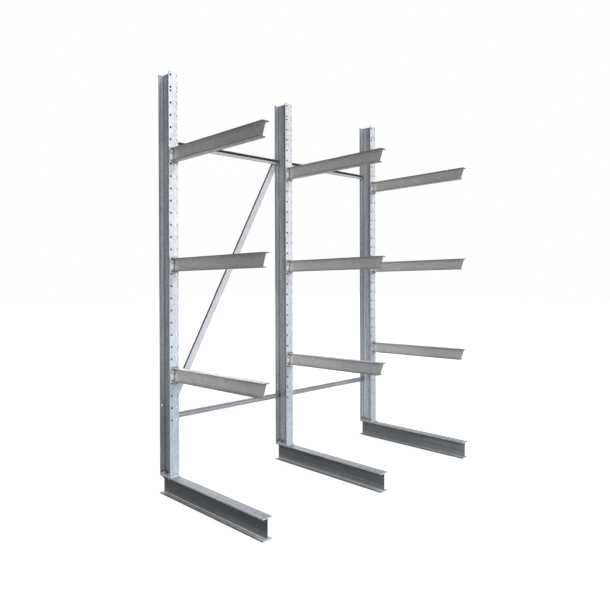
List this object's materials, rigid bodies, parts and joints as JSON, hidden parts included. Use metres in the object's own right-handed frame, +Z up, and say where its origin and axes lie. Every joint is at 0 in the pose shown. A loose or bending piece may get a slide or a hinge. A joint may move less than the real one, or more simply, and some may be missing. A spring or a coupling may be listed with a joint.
{
  "type": "cantilever rack",
  "caption": "Single-sided galvanised cantilever rack with drilled I-section columns, bolted sloping arms, base beams and rear channel bracing for long stock.",
  "frame": {"origin": "on the floor, midway along the row and midway between the front of the base beams and the back of the diagonal brace", "axes": "+X along the row to the right as seen from the front, -Y the way the arms point, +Z up"},
  "size_m": [1.984, 1.02, 2.62],
  "materials": {
    "column": "hot-dip galvanised, satin with a faint spangle",
    "foot_plate": "hot-dip galvanised, satin",
    "base_beam": "hot-dip galvanised, satin with a faint spangle",
    "arm": "hot-dip galvanised, dull grey with a faint spangle",
    "arm_plate": "hot-dip galvanised, satin",
    "brace": "pre-galvanised sheet, satin",
    "fastener": "zinc coated, semi-bright"
  },
  "bodies": {
    "root": {"column_left": "column", "foot_plate_left": "foot_plate", "base_beam_left": "base_beam", "arm_left_bottom": "arm", "arm_plate_left_bottom": "arm_plate", "arm_left_middle": "arm", "arm_plate_left_middle": "arm_plate", "arm_left_top": "arm", "arm_plate_left_top": "arm_plate", "arm_bolts_left": "fastener", "arm_washers_left": "fastener", "arm_nuts_left": "fastener", "foot_bolts_left": "fastener", "foot_washers_left": "fastener", "foot_nuts_left": "fastener", "column_middle": "column", "foot_plate_middle": "foot_plate", "base_beam_middle": "base_beam", "arm_middle_bottom": "arm", "arm_plate_middle_bottom": "arm_plate", "arm_middle_middle": "arm", "arm_plate_middle_middle": "arm_plate", "arm_middle_top": "arm", "arm_plate_middle_top": "arm_plate", "arm_bolts_middle": "fastener", "arm_washers_middle": "fastener", "arm_nuts_middle": "fastener", "foot_bolts_middle": "fastener", "foot_washers_middle": "fastener", "foot_nuts_middle": "fastener", "column_right": "column", "foot_plate_right": "foot_plate", "base_beam_right": "base_beam", "arm_right_bottom": "arm", "arm_plate_right_bottom": "arm_plate", "arm_right_middle": "arm", "arm_plate_right_middle": "arm_plate", "arm_right_top": "arm", "arm_plate_right_top": "arm_plate", "arm_bolts_right": "fastener", "arm_washers_right": "fastener", "arm_nuts_right": "fastener", "foot_bolts_right": "fastener", "foot_washers_right": "fastener", "foot_nuts_right": "fastener", "top_brace_left": "brace", "top_brace_right": "brace", "low_brace_left": "brace", "low_brace_right": "brace", "diagonal_brace": "brace", "brace_bolts": "fastener", "brace_washers": "fastener", "brace_nuts": "fastener"}
  },
  "joints": []
}
